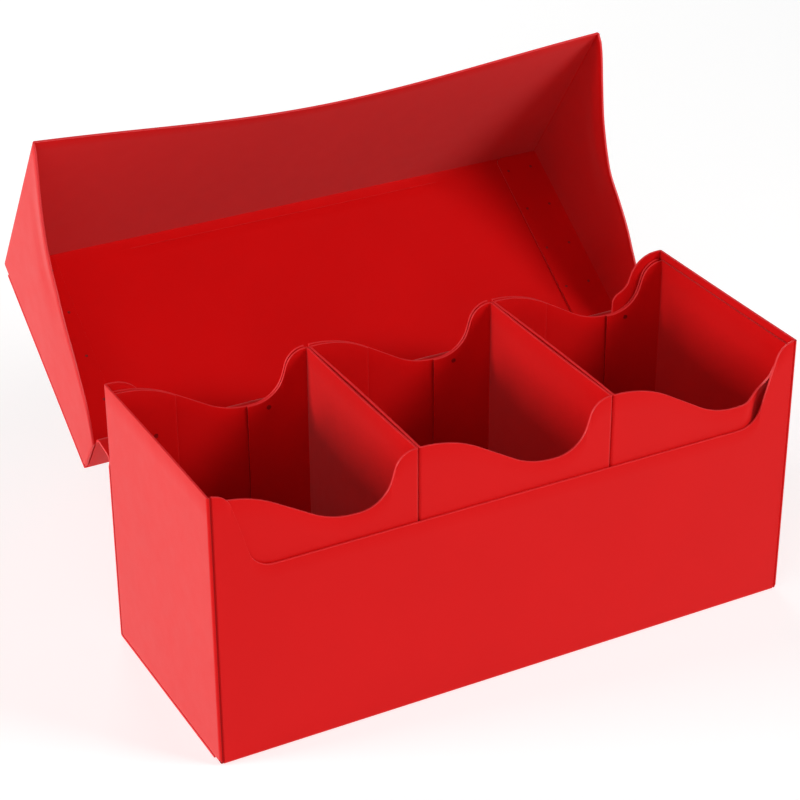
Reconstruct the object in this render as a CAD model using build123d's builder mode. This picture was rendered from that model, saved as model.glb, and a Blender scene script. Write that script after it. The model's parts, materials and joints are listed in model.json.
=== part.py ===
from build123d import *

import os
from math import cos, radians, sin, tan

# Card deck box folded from polypropylene sheet: an outer box, three card inserts standing side by
# side in it, and a tray-shaped lid that hangs on two creases behind the back wall.
# Millimetres. Origin at the centre of the base, +X to the right, -Y to the front, +Z up.
# The box is drawn as it stands in use: lid thrown back, hinge strip bowed out under it.

# ---------------------------------------------------------------- driving dimensions
width = 219.0             # across the side walls
depth = 84.4              # front face to back face
height = 100.0            # table to the rim of the outer walls
sheet = 0.8               # sheet of the outer box and the lid
insert_sheet = 0.8        # sheet of the inserts
insert_names = ("left", "middle", "right")

recess_drop = 29.6        # rim down to the straight bottom of the front recess
horn_top = 6.5            # side face to the recess edge, at the rim
horn_foot = 15.1          # side face to the recess edge, at the recess bottom
horn_setbacks = (6.0, 6.8)    # how far the rounding runs from the top and the foot corner

ear_width = 20.6          # glue ear behind the inserts, from the side face to its inner edge
ear_top = 11.2            # side face to the ear's sloping edge, at the rim
ear_knee = (14.3, 11.7)   # the ear's knee: in from the side face, down from the rim
ear_shoulder = 14.8       # rim down to where the inner edge starts
ear_setbacks = (6.0, 3.0, 2.6)
base_flap_width = 16.0    # flap of each side wall, welded down on the base

insert_drop = 2.8         # rim of the outer walls down to the top of the inserts
wave_drop = 17.8          # top of an insert down to the low point of its wave
wave_corners = (0.17, 0.58, 0.835, 0.908)    # the wave's corners, as shares of the insert's width
wave_setbacks = (0.16, 0.11, 0.125, 0.078)   # their rounding, as shares of the insert's width
insert_flap_share = 0.32  # width of a glue flap inside the insert's back, as a share of the insert

lid_corner_drop = 77.2    # lid top down to the two front tips
lid_middle_drop = 65.6    # lid top down to the middle of the front edge
lid_back_drop = 18.2      # lid top down to the back end of each side panel
lid_side_knots = ((0.14, 0.154), (0.41, 0.325), (0.64, 0.49), (0.82, 0.745))
lid_tip_radius = 2.0
lid_flap_width = 18.4     # glue flap of each lid side, welded under the lid top
lid_flap_radius = 2.5
crease_drop = 20.4        # lid top down to the crease between lid back and hinge strip
strip_length = 10.0       # between the two creases

lean_angle = 80.0         # hinge strip away from upright, in the drawn position
open_angle = 145.3        # lid away from closed, in the drawn position

# ---------------------------------------------------------------- clearances
side_gap = 0.3            # box side to lid side, box front to lid front
rim_gap = 0.2             # rim to the lid's glue flaps
insert_gap = 0.2          # insert to outer wall, insert to insert
ear_gap = 0.2             # back wall to glue ear
seam_gap = 0.3            # free end of a glue flap to the panel that it stops at
crease_gap = 0.05         # half of the groove at a moving crease

# ---------------------------------------------------------------- worked-out places
half_width = width / 2
front_y = -depth / 2
back_y = depth / 2
wall_x = half_width - sheet                  # inner face of a side wall
flap_top_z = 2 * sheet                       # top of the base flaps, where the inserts stand
ear_y = back_y - sheet - ear_gap             # outer face of the glue ears

insert_front_y = front_y + sheet + insert_gap
insert_back_y = ear_y - sheet - insert_gap
insert_top_z = height - insert_drop
insert_pitch = (2 * (wall_x - insert_gap) + insert_gap) / len(insert_names)
insert_width = insert_pitch - insert_gap

lid_half_width = half_width + side_gap + sheet
lid_wall_x = half_width + side_gap           # inner face of a lid side
lid_front_y = front_y - side_gap - sheet
lid_flap_z = height + rim_gap
lid_top_z = lid_flap_z + sheet
lid_peak_z = lid_top_z + sheet
lid_depth = back_y - lid_front_y

lid_crease_z = lid_peak_z - crease_drop      # with the box closed
strip_crease_z = lid_crease_z - strip_length
strip_half_width = half_width - seam_gap

os.makedirs("parts", exist_ok=True)


# ---------------------------------------------------------------- planes
def front_plane(y):
    """Upright plane at depth y: X to the right, Z up, extruding to the front."""
    return Plane.XZ.offset(-y)


def side_plane(x):
    """Upright plane at x: local x to the back, local y up, extruding to the right."""
    return Plane.YZ.offset(x)


def level_plane(z):
    """Level plane at height z, extruding up."""
    return Plane.XY.offset(z)


def swung(angle, pivot_z, to_y, to_z):
    """Place of a panel whose crease at (back_y, pivot_z) has moved to (to_y, to_z), turned back."""
    return Location((0, to_y, to_z), (-angle, 0, 0)) * Location((0, -back_y, -pivot_z))


def strip_plane(closed):
    """The closed box's plane, carried to where the hinge strip leans."""
    return Plane(strip_place * closed.location)


def lid_plane(closed):
    """The closed box's plane, carried to where the lid lies thrown back."""
    return Plane(lid_place * closed.location)


open_crease_y = back_y + strip_length * sin(radians(lean_angle))
open_crease_z = strip_crease_z + strip_length * cos(radians(lean_angle))
strip_place = swung(lean_angle, strip_crease_z, back_y, strip_crease_z)
lid_place = swung(open_angle, lid_crease_z, open_crease_y, open_crease_z)


# ---------------------------------------------------------------- outlines
def corner_radii(points, setbacks):
    """Radius at each inner corner that starts its arc one setback away from the corner.

    A setback never takes more than 48% of the shorter run beside its corner.
    """
    radii = []
    for before, corner, after, setback in zip(points, points[1:], points[2:], setbacks):
        run_in = Vector(*corner) - Vector(*before)
        run_out = Vector(*after) - Vector(*corner)
        turn = radians(run_in.get_angle(run_out))
        reach = min(setback, 0.48 * run_in.length, 0.48 * run_out.length)
        radii.append(reach / tan(turn / 2))
    return radii


def recess_points():
    """Top edge of the front wall from left to right: horn, recess, horn."""
    left = [
        (-half_width, height),
        (-half_width + horn_top, height),
        (-half_width + horn_foot, height - recess_drop),
    ]
    return left + [(-x, z) for x, z in reversed(left)]


def ear_points(side):
    """Top and inner edge of a glue ear; side is -1 on the left and 1 on the right."""
    return [
        (side * wall_x, height),
        (side * (half_width - ear_top), height),
        (side * (half_width - ear_knee[0]), height - ear_knee[1]),
        (side * (half_width - ear_width), height - ear_shoulder),
        (side * (half_width - ear_width), sheet),
    ]


def wave_points(left):
    """Wavy top edge of an insert wall that starts at x = left."""
    levels = (0.0, wave_drop, wave_drop, 0.0)
    inner = [
        (left + share * insert_width, insert_top_z - level)
        for share, level in zip(wave_corners, levels)
    ]
    return [(left, insert_top_z), *inner, (left + insert_width, insert_top_z)]


def save(part, name):
    """Label a finished piece and write it to its own file."""
    part.label = name
    export_step(part, f"parts/{name}.step")


# ---------------------------------------------------------------- outer box
with BuildPart() as base_panel:
    with BuildSketch(level_plane(0)):
        Rectangle(width, depth)
    extrude(amount=sheet)
save(base_panel.part, "base_panel")

with BuildPart() as front_wall:
    with BuildSketch(front_plane(front_y + sheet)):
        with BuildLine():
            rim = recess_points()
            setbacks = [*horn_setbacks, *reversed(horn_setbacks)]
            FilletPolyline(*rim, radius=corner_radii(rim, setbacks))
            Polyline(rim[-1], (half_width, sheet), (-half_width, sheet), rim[0])
        make_face()
    extrude(amount=sheet)
save(front_wall.part, "front_wall")

with BuildPart() as back_wall:
    with BuildSketch(front_plane(back_y)):
        with Locations((0, (sheet + strip_crease_z - crease_gap) / 2)):
            Rectangle(width, strip_crease_z - crease_gap - sheet)
    extrude(amount=sheet)
save(back_wall.part, "back_wall")


def build_side_wall(side, name):
    """Side wall with a straight rim, between the front wall and the back wall."""
    inner_x = wall_x if side > 0 else -half_width
    with BuildPart() as wall:
        with BuildSketch(side_plane(inner_x)):
            with Locations((0, (sheet + height) / 2)):
                Rectangle(depth - 2 * sheet, height - sheet)
        extrude(amount=sheet)
    save(wall.part, name)


def build_back_ear(side, name):
    """Glue ear of a side wall, folded in front of the back wall."""
    with BuildPart() as ear:
        with BuildSketch(front_plane(ear_y)):
            with BuildLine():
                edge = ear_points(side)
                FilletPolyline(*edge, radius=corner_radii(edge, ear_setbacks))
                Polyline(edge[-1], (side * wall_x, sheet), edge[0])
            make_face()
        extrude(amount=sheet)
    save(ear.part, name)


def build_base_flap(side, name):
    """Flap at the foot of a side wall, welded down on the base."""
    with BuildPart() as flap:
        with BuildSketch(level_plane(sheet)):
            with Locations((side * (wall_x - base_flap_width / 2), (insert_front_y + insert_back_y) / 2)):
                Rectangle(base_flap_width, insert_back_y - insert_front_y)
        extrude(amount=sheet)
    save(flap.part, name)


for side, word in ((-1, "left"), (1, "right")):
    build_side_wall(side, f"{word}_wall")
    build_back_ear(side, f"{word}_back_ear")
    build_base_flap(side, f"{word}_base_flap")


# ---------------------------------------------------------------- card inserts
def build_insert(index, word):
    """One folded insert: floor, two wavy walls, two side walls and two glue flaps at the back."""
    left = -wall_x + insert_gap + index * insert_pitch
    middle = left + insert_width / 2
    inner_width = insert_width - 2 * insert_sheet
    inner_depth = insert_back_y - insert_front_y - 2 * insert_sheet
    middle_y = (insert_front_y + insert_back_y) / 2
    floor_z = flap_top_z + insert_sheet

    with BuildPart() as floor:
        with BuildSketch(level_plane(flap_top_z)):
            with Locations((middle, middle_y)):
                Rectangle(insert_width, insert_back_y - insert_front_y)
        extrude(amount=insert_sheet)
    save(floor.part, f"{word}_insert_floor")

    for y, place in ((insert_front_y + insert_sheet, "front"), (insert_back_y, "back")):
        with BuildPart() as wall:
            with BuildSketch(front_plane(y)):
                with BuildLine():
                    wave = wave_points(left)
                    setbacks = [share * insert_width for share in wave_setbacks]
                    FilletPolyline(*wave, radius=corner_radii(wave, setbacks))
                    Polyline(wave[-1], (left + insert_width, floor_z), (left, floor_z), wave[0])
                make_face()
            extrude(amount=insert_sheet)
        save(wall.part, f"{word}_insert_{place}")

    for side, end in ((-1, "left"), (1, "right")):
        face_x = middle + side * inner_width / 2
        with BuildPart() as wall:
            with BuildSketch(side_plane(face_x if side > 0 else face_x - insert_sheet)):
                with Locations((middle_y, (floor_z + insert_top_z) / 2)):
                    Rectangle(inner_depth, insert_top_z - floor_z)
            extrude(amount=insert_sheet)
        save(wall.part, f"{word}_insert_{end}_side")

        flap_edge = middle + side * insert_width * (0.5 - insert_flap_share)
        with BuildPart() as flap:
            with BuildSketch(front_plane(insert_back_y - insert_sheet)):
                with BuildLine():
                    wave = wave_points(left)
                    FilletPolyline(*wave, radius=corner_radii(wave, setbacks))
                    Polyline(wave[-1], (left + insert_width, floor_z), (left, floor_z), wave[0])
                make_face()
                with Locations(((face_x + flap_edge) / 2, (floor_z + insert_top_z) / 2)):
                    Rectangle(abs(face_x - flap_edge), insert_top_z - floor_z, mode=Mode.INTERSECT)
            extrude(amount=insert_sheet)
        save(flap.part, f"{word}_insert_{end}_flap")


for index, word in enumerate(insert_names):
    build_insert(index, word)

# ---------------------------------------------------------------- hinge strip
with BuildPart() as hinge_strip:
    with BuildSketch(strip_plane(front_plane(back_y))):
        with Locations((0, strip_crease_z + strip_length / 2)):
            Rectangle(2 * strip_half_width, strip_length - 2 * crease_gap)
    extrude(amount=sheet)
save(hinge_strip.part, "hinge_strip")

# ---------------------------------------------------------------- lid
with BuildPart() as lid_back:
    with BuildSketch(lid_plane(front_plane(back_y))):
        with Locations((0, (lid_crease_z + crease_gap + lid_top_z) / 2)):
            Rectangle(2 * strip_half_width, lid_top_z - lid_crease_z - crease_gap)
    extrude(amount=sheet)
save(lid_back.part, "lid_back")

with BuildPart() as lid_top:
    with BuildSketch(lid_plane(level_plane(lid_top_z))):
        with Locations((0, (lid_front_y + back_y) / 2)):
            Rectangle(2 * lid_half_width, lid_depth)
    extrude(amount=sheet)
save(lid_top.part, "lid_top")

with BuildPart() as lid_front:
    with BuildSketch(lid_plane(front_plane(lid_front_y + sheet))) as outline:
        with BuildLine():
            tip_z = lid_peak_z - lid_corner_drop
            edge = ThreePointArc(
                (-lid_half_width, tip_z), (0, lid_peak_z - lid_middle_drop), (lid_half_width, tip_z)
            )
            Polyline(edge @ 1, (lid_half_width, lid_top_z), (-lid_half_width, lid_top_z), edge @ 0)
        make_face()
        fillet(outline.vertices().group_by(Axis.Y)[0], lid_tip_radius)
    extrude(amount=sheet)
save(lid_front.part, "lid_front")


def build_lid_side(side, name):
    """Lid side panel: shallow at the back, S-shaped free edge, deep at the front."""
    inner_x = lid_wall_x if side > 0 else -lid_half_width
    length = back_y - lid_front_y - sheet
    rise = lid_corner_drop - lid_back_drop
    knots = [
        (back_y - along * length, lid_peak_z - lid_back_drop - down * rise)
        for along, down in lid_side_knots
    ]
    with BuildPart() as panel:
        with BuildSketch(lid_plane(side_plane(inner_x))):
            with BuildLine():
                edge = Spline(
                    (back_y, lid_peak_z - lid_back_drop),
                    *knots,
                    (lid_front_y + sheet, lid_peak_z - lid_corner_drop),
                    tangents=((-1, -1), (-1, -1)),
                )
                Polyline(edge @ 1, (lid_front_y + sheet, lid_top_z), (back_y, lid_top_z), edge @ 0)
            make_face()
        extrude(amount=sheet)
    save(panel.part, name)


def build_lid_flap(side, name):
    """Glue flap of a lid side, welded under the lid top."""
    front_end = lid_front_y + sheet + seam_gap
    back_end = back_y - sheet - seam_gap
    with BuildPart() as flap:
        with BuildSketch(lid_plane(level_plane(lid_flap_z))) as outline:
            with Locations((side * (lid_wall_x - lid_flap_width / 2), (front_end + back_end) / 2)):
                Rectangle(lid_flap_width, back_end - front_end)
            inner = outline.vertices().group_by(Axis.X)[0 if side > 0 else -1]
            fillet(inner, lid_flap_radius)
        extrude(amount=sheet)
    save(flap.part, name)


for side, word in ((-1, "left"), (1, "right")):
    build_lid_side(side, f"lid_{word}_side")
    build_lid_flap(side, f"lid_{word}_flap")
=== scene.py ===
import json
import logging
import math
from collections.abc import Callable, Sequence
from dataclasses import dataclass, field
from enum import Enum, IntEnum

import bmesh
import bpy
from mathutils import Matrix, Vector


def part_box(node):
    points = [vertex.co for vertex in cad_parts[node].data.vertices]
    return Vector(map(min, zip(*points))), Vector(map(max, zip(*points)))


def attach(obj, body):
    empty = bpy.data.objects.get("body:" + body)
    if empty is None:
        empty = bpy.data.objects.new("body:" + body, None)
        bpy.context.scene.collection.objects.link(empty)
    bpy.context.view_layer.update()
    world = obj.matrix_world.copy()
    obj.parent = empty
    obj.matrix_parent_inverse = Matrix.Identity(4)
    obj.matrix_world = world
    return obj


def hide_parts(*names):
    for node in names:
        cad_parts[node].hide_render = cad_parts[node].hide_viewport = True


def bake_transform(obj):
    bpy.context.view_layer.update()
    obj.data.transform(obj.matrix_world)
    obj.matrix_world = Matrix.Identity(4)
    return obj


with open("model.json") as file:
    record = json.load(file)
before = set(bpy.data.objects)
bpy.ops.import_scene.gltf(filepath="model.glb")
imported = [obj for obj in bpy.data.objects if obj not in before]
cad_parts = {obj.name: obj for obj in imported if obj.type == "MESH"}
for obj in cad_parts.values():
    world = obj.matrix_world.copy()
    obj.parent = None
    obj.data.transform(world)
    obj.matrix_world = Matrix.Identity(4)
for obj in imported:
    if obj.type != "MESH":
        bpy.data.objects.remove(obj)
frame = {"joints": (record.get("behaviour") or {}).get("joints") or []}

# Card deck box of folded polypropylene sheet: outer box, three card inserts, hinge strip and lid.
# Sizes are in millimetres here, and every mesh is made in metres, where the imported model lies.

LOG = logging.getLogger("deck_box")
MM = 0.001
NEAR = 0.02 * MM          # two places closer than this are the same
SNAP = 0.01               # a point this near to a line is on it, in millimetres
Point = tuple[float, float]
Colour = tuple[float, float, float]
Piece = bpy.types.Object
Material = bpy.types.Material
Node = bpy.types.Node
Test = Callable[[Vector], bool]


class Slot(Enum):
    """Material slots of the part's record."""

    SHELL = "shell_sheet"
    INSERT = "insert_sheet"


class Along(Enum):
    """The way that the ribs of a sheet run while it is drawn."""

    UPRIGHT = (0.0, 0.0, 1.0)
    ACROSS = (1.0, 0.0, 0.0)


class Coat(IntEnum):
    """Places of a sheet's finishes in its material list."""

    FACE = 0
    # Cut edges: paler than the faces, partly the real whitened cut and partly a painted highlight.
    CUT = 1
    # Dark finish that paints shade into crease grooves and narrow gaps.
    CREASE = 2


# ---------------------------------------------------------------- outlines
def rounded(corners: Sequence[Point], setbacks: Sequence[float], steps: int = 7) -> list[Point]:
    """Round the inner corners of an outline.

    Args:
        corners: The outline's corners, ends included.
        setbacks: How far from each inner corner its arc starts, held to most of the runs beside it.
        steps: Straight pieces in each arc.

    Returns:
        The outline with an arc's points in place of each inner corner.
    """
    line = [corners[0]]
    last = len(corners) - 2
    for k, (before, corner, after, setback) in enumerate(zip(corners, corners[1:], corners[2:], setbacks), 1):
        tip, run_in, run_out = Vector(corner), Vector(before), Vector(after)
        back, ahead = run_in - tip, run_out - tip
        share_in, share_out = (0.92 if k == 1 else 0.74), (0.92 if k == last else 0.74)
        reach = min(setback, share_in * back.length, share_out * ahead.length)
        back.normalize()
        ahead.normalize()
        half = back.angle(ahead) / 2
        centre = tip + (back + ahead).normalized() * reach / math.cos(half)
        spoke, end = tip + back * reach - centre, tip + ahead * reach - centre
        turn = spoke.angle_signed(end)
        for step in range(steps + 1):
            angle = -turn * step / steps
            place = centre + Matrix.Rotation(angle, 2) @ spoke
            line.append((place.x, place.y))
    line.append(corners[-1])
    return line


def arc(centre: Point, radius: float, start: float, end: float, steps: int = 5) -> list[Point]:
    """Points of an arc, both ends included.

    Args:
        centre: Middle of the arc.
        radius: Its radius.
        start: First angle in degrees, anticlockwise from the first axis.
        end: Last angle in degrees.
        steps: Straight pieces in it.

    Returns:
        The points in order from start to end.
    """
    angles = [math.radians(start + (end - start) * step / steps) for step in range(steps + 1)]
    return [(centre[0] + radius * math.cos(a), centre[1] + radius * math.sin(a)) for a in angles]


def level(outline: Sequence[Point], place: float) -> float:
    """Height of an outline at a place, between its two nearest points.

    Args:
        outline: Points in order of their first number.
        place: Where the height is wanted; past an end it is that end's height.

    Returns:
        The height.
    """
    if place <= outline[0][0]:
        return outline[0][1]
    for (x0, z0), (x1, z1) in zip(outline, outline[1:]):
        if place <= x1:
            return z1 if x1 - x0 < 1e-9 else z0 + (z1 - z0) * (place - x0) / (x1 - x0)
    return outline[-1][1]


def between(start: Vector, end: Vector, shares: Sequence[float]) -> list[Point]:
    """Places on the way from start to end, as (y, z)."""
    return [(end.y * t + start.y * (1 - t), end.z * t + start.z * (1 - t)) for t in shares]


def on(value: float, line: float) -> bool:
    """Whether a value lies on a line."""
    return abs(value - line) < SNAP


def spread(start: float, end: float, parts: int) -> list[float]:
    """Evenly spaced numbers, both ends included."""
    return [start + (end - start) * step / parts for step in range(parts + 1)]


def ease(value: float) -> float:
    """Smooth rise from 0 to 1 as value goes from 0 to 1."""
    held = min(1.0, max(0.0, value))
    return held * held * (3 - 2 * held)


def hump(value: float) -> float:
    """Smooth swelling: 0 at 0 and 1, and 1 halfway."""
    return math.sin(math.pi * min(1.0, max(0.0, value)))


# ---------------------------------------------------------------- the bench where sheets are folded
@dataclass(frozen=True)
class Rib:
    """One straight line across a sheet, from its foot to its head, in millimetres."""

    foot: Vector
    head: Vector

    def reach(self, way: Vector) -> float:
        """How far the head lies from the foot, less than 0 where it lies the other way."""
        return (self.head - self.foot).dot(way)


def upright(x: float, y: float, foot: float, head: float) -> Rib:
    """Rib that stands at (x, y) between two heights."""
    return Rib(Vector((x, y, foot)), Vector((x, y, head)))


def at(y: float, z: float) -> Vector:
    """Place in the box's middle plane."""
    return Vector((0, y, z))


def across(half_width: float, y: float, z: float) -> Rib:
    """Rib that lies across the box at (y, z)."""
    return Rib(Vector((-half_width, y, z)), Vector((half_width, y, z)))


def mirrored(left: Sequence[Rib]) -> list[Rib]:
    """Upright ribs of a left half and then of its mirror image, the middle one once."""
    right = [upright(-rib.foot.x, rib.foot.y, rib.foot.z, rib.head.z) for rib in reversed(left[:-1])]
    return [*left, *right]


def round_corner(
    places: Sequence[Point], first: float, last: float, head: Callable[[float], float], rise: float = 0.0
) -> list[Rib]:
    """Upright ribs round a corner, where the foot changes its height.

    Args:
        places: Points of the corner's arc.
        first: Height of the first rib's foot.
        last: Height of the last rib's foot.
        head: Told a rib's x, gives the height of its head.
        rise: How much further up the feet run halfway round.

    Returns:
        The ribs in order.
    """
    ribs = []
    for step, (x, y) in enumerate(places):
        share = step / (len(places) - 1)
        foot = first + (last - first) * ease(share) + rise * hump(share)
        ribs.append(upright(x, y, foot, head(x)))
    return ribs


class Bench:
    """Makes one sheet: draws its outer face rib by rib, folds rows on, then gives it its wall."""

    def __init__(self, name: str, along: Along) -> None:
        """Take the finished sheet's name and the way that its ribs run."""
        self.name = name
        self.along = along
        self.way = Vector(along.value)
        self.sheet: Piece | None = None

    def pick(self, test: Test) -> int:
        """Select the edges whose two ends pass a test.

        Args:
            test: Told a corner's place in millimetres, says whether it is wanted.

        Returns:
            How many edges are selected.
        """
        bpy.ops.mesh.select_all(action="DESELECT")
        shape = bmesh.from_edit_mesh(self.sheet.data)
        wanted = {v.index for v in shape.verts if test(v.co / MM)}
        found = [e for e in shape.edges if all(v.index in wanted for v in e.verts)]
        for edge in found:
            edge.select_set(True)
        bmesh.update_edit_mesh(self.sheet.data)
        return len(found)

    def start(self, rib: Rib) -> None:
        """Stand up the first rib, as the one edge that is kept of a plane.

        Args:
            rib: The rib.
        """
        bpy.ops.object.select_all(action="DESELECT")
        way = self.way
        size = rib.reach(way) * MM
        tilt = math.pi / 2 if self.along is Along.UPRIGHT else 0.0
        aside = Vector((1, 0, 0)) if tilt else at(1, 0)
        middle = rib.foot * MM + way * size / 2 + aside * abs(size) / 2
        bpy.ops.mesh.primitive_plane_add(size=abs(size), location=middle, rotation=(tilt, 0, 0))
        bpy.ops.object.transform_apply(location=True, rotation=True, scale=True)
        self.sheet = bpy.context.object
        self.sheet.name = self.sheet.data.name = self.name
        bpy.ops.object.mode_set(mode="EDIT")
        bpy.ops.mesh.select_mode(type="EDGE")
        foot = rib.foot

        def off_rib(place: Vector) -> bool:
            """Whether a corner lies off the rib's line."""
            gone = place - foot
            return (gone - way * gone.dot(way)).length * MM > NEAR

        self.pick(off_rib)
        bpy.ops.mesh.delete(type="VERT")
        bpy.ops.mesh.select_all(action="SELECT")

    def draw(self, ribs: Sequence[Rib]) -> None:
        """Draw the sheet by extruding the first rib through the others.

        Args:
            ribs: The sheet's ribs in order.
        """
        self.start(ribs[0])
        for before, after in zip(ribs, ribs[1:]):
            step = (after.foot - before.foot) * MM
            bpy.ops.mesh.extrude_region_move(TRANSFORM_OT_translate={"value": step})
            ratio = after.reach(self.way) / before.reach(self.way)
            if abs(ratio - 1) > 1e-7:
                value = tuple(ratio if part else 1.0 for part in self.along.value)
                bpy.ops.transform.resize(value=value, center_override=after.foot * MM)

    def divide(self, cuts: int) -> None:
        """Divide every rib into equal parts.

        Args:
            cuts: How many new points each rib gets.
        """
        bpy.ops.mesh.select_all(action="DESELECT")
        shape = bmesh.from_edit_mesh(self.sheet.data)
        for edge in shape.edges:
            run = (edge.verts[1].co - edge.verts[0].co).normalized()
            edge.select_set(abs(run.dot(self.way)) > 0.9999)
        bmesh.update_edit_mesh(self.sheet.data)
        bpy.ops.mesh.subdivide(number_cuts=cuts)

    def fold_on(self, test: Test, places: Sequence[Vector]) -> None:
        """Extrude a row of edges through places.

        Args:
            test: Says which corners are in the row.
            places: The row's own place, and then each place that it is taken to.
        """
        if not self.pick(test):
            raise ValueError(f"{self.name}: no edge to fold on")
        for before, after in zip(places, places[1:]):
            bpy.ops.mesh.extrude_region_move(TRANSFORM_OT_translate={"value": (after - before) * MM})

    def press(self, move: Callable[[Vector], Vector]) -> None:
        """Move every corner by code, for the slight bow of a real sheet.

        Args:
            move: Told a corner's place in millimetres, gives its shift in millimetres.
        """
        shape = bmesh.from_edit_mesh(self.sheet.data)
        for vert in shape.verts:
            vert.co += move(vert.co / MM) * MM
        bmesh.update_edit_mesh(self.sheet.data)

    def paint_shade(self, test: Test) -> None:
        """Give some faces the dark finish that paints shade into a crease.

        Args:
            test: Told a face's middle in millimetres, says whether it gets the painted shade.
        """
        shape = bmesh.from_edit_mesh(self.sheet.data)
        for face in shape.faces:
            if test(face.calc_center_median() / MM):
                face.material_index = Coat.CREASE
        bmesh.update_edit_mesh(self.sheet.data)

    def face_out(self, spot: Vector, outward: Vector) -> None:
        """Turn all faces the right way.

        Args:
            spot: A place near a face, in millimetres.
            outward: The way that this face looks.
        """
        bpy.ops.mesh.select_all(action="SELECT")
        bpy.ops.mesh.normals_make_consistent(inside=False)
        shape = bmesh.from_edit_mesh(self.sheet.data)
        shape.normal_update()
        nearest = min(shape.faces, key=lambda f: (f.calc_center_median() / MM - spot).length)
        if nearest.normal.dot(outward) < 0:
            bpy.ops.mesh.flip_normals()

    def finish(
        self,
        thickness: float,
        finishes: Sequence[Material],
        seam: Test | None = None,
        plain: Test | None = None,
        rounding: float = 0.1,
    ) -> Piece:
        """Give the sheet its wall, round its cut edges and shade it.

        Args:
            thickness: Wall, laid on the inner side of the drawn face.
            finishes: Finish of the faces, finish of the cut edges, which is paler as partly a painted
                highlight, and the dark finish of painted shade.
            seam: Says which corners lie where the sheet goes on in another piece, and stay sharp.
            plain: Says which cut edges get none of the paler painted highlight, and keep the finish of the
                faces.
            rounding: How far the rounding of a cut edge reaches.

        Returns:
            The finished sheet.
        """
        bpy.ops.object.mode_set(mode="OBJECT")
        for finish in finishes:
            self.sheet.data.materials.append(finish)
        bpy.ops.object.modifier_add(type="SOLIDIFY")
        wall = self.sheet.modifiers[-1]
        wall.thickness = thickness * MM
        wall.offset = -1.0
        wall.use_even_offset = True
        wall.material_offset_rim = Coat.CUT
        bpy.ops.object.modifier_apply(modifier=wall.name)
        for face in self.sheet.data.polygons:
            face.material_index = Coat.CUT if face.material_index > Coat.CREASE else face.material_index
        self.mark_cut_edges(seam)
        bpy.ops.object.modifier_add(type="BEVEL")
        edge = self.sheet.modifiers[-1]
        edge.limit_method = "WEIGHT"
        edge.width = rounding * MM
        edge.segments = 2
        edge.use_clamp_overlap = False
        edge.material = Coat.CUT
        bpy.ops.object.modifier_apply(modifier=edge.name)
        for face in self.sheet.data.polygons:
            if plain is not None and face.material_index == Coat.CUT and plain(face.center / MM):
                face.material_index = Coat.FACE
        bpy.ops.object.shade_smooth_by_angle(angle=math.radians(32))
        return self.sheet

    def mark_cut_edges(self, seam: Test | None) -> None:
        """Give the sharp edges of the rim the weight that the rounding reads.

        Args:
            seam: Says which corners lie on a seam, whose edges get none.
        """
        data = self.sheet.data
        shape = bmesh.new()
        shape.from_mesh(data)
        weight = shape.edges.layers.float.new("bevel_weight_edge")
        for edge in shape.edges:
            if len(edge.link_faces) != 2:
                continue
            sharp = edge.calc_face_angle(0.0) > math.radians(60)
            rim = any(f.material_index == Coat.CUT for f in edge.link_faces)
            closed = seam is not None and all(seam(v.co / MM) for v in edge.verts)
            edge[weight] = 1.0 if sharp and rim and not closed else 0.0
        shape.to_mesh(data)
        shape.free()


def place_by(piece: Piece, move: Matrix) -> None:
    """Carry a piece and put the move in its mesh.

    Args:
        piece: The piece.
        move: Where it goes, in metres.
    """
    bpy.ops.object.select_all(action="DESELECT")
    piece.select_set(True)
    bpy.context.view_layer.objects.active = piece
    piece.matrix_world = move
    bpy.ops.object.transform_apply(location=True, rotation=True, scale=True)


# ---------------------------------------------------------------- the frame's own sizes
@dataclass(frozen=True)
class Frame:
    """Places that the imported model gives, in millimetres."""

    half_width: float
    front: float
    back: float
    rim: float
    sheet: float
    ear_outer: float
    strip_half: float
    axis: Vector              # crease between back wall and hinge strip
    crease: Vector            # crease between hinge strip and lid, as the box stands
    strip_angle: float        # how far the strip leans from upright, in degrees
    lid_angle: float          # how far the lid lies from closed, in degrees

    @classmethod
    def measure(cls) -> "Frame":
        """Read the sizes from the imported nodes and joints.

        Returns:
            The sizes.
        """
        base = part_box("base_panel")
        strip, lid = frame["joints"]
        strip_angle = -strip["range_deg"][0]
        return cls(
            half_width=base[1].x / MM,
            front=base[0].y / MM,
            back=base[1].y / MM,
            rim=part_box("left_wall")[1].z / MM,
            sheet=base[1].z / MM,
            ear_outer=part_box("left_back_ear")[1].y / MM,
            strip_half=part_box("hinge_strip")[1].x / MM,
            axis=Vector(strip["pos_m"]) / MM,
            crease=Vector(lid["pos_m"]) / MM,
            strip_angle=strip_angle,
            lid_angle=strip_angle - lid["range_deg"][0],
        )

    @property
    def strip_length(self) -> float:
        """Distance between the two creases."""
        return (self.crease - self.axis).length

    @property
    def closed_crease(self) -> Vector:
        """Where the lid's crease is with the box closed."""
        return self.axis + at(0, self.strip_length)

    @property
    def lid_swing(self) -> Matrix:
        """Move that carries the closed lid to where it lies thrown back, in metres."""
        turn = Matrix.Rotation(-math.radians(self.lid_angle), 4, "X")
        there, back = self.crease * MM, self.closed_crease * -MM
        return Matrix.Translation(there) @ turn @ Matrix.Translation(back)


# ---------------------------------------------------------------- finishes
PLASTIC_IOR = 1.49
MELT: Colour = (0.26, 0.0012, 0.0018)
MIX_COLOURS = slice(6, 8)     # a colour mix's two colour inputs
MIX_RESULT = 2                # and its colour output


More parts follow.
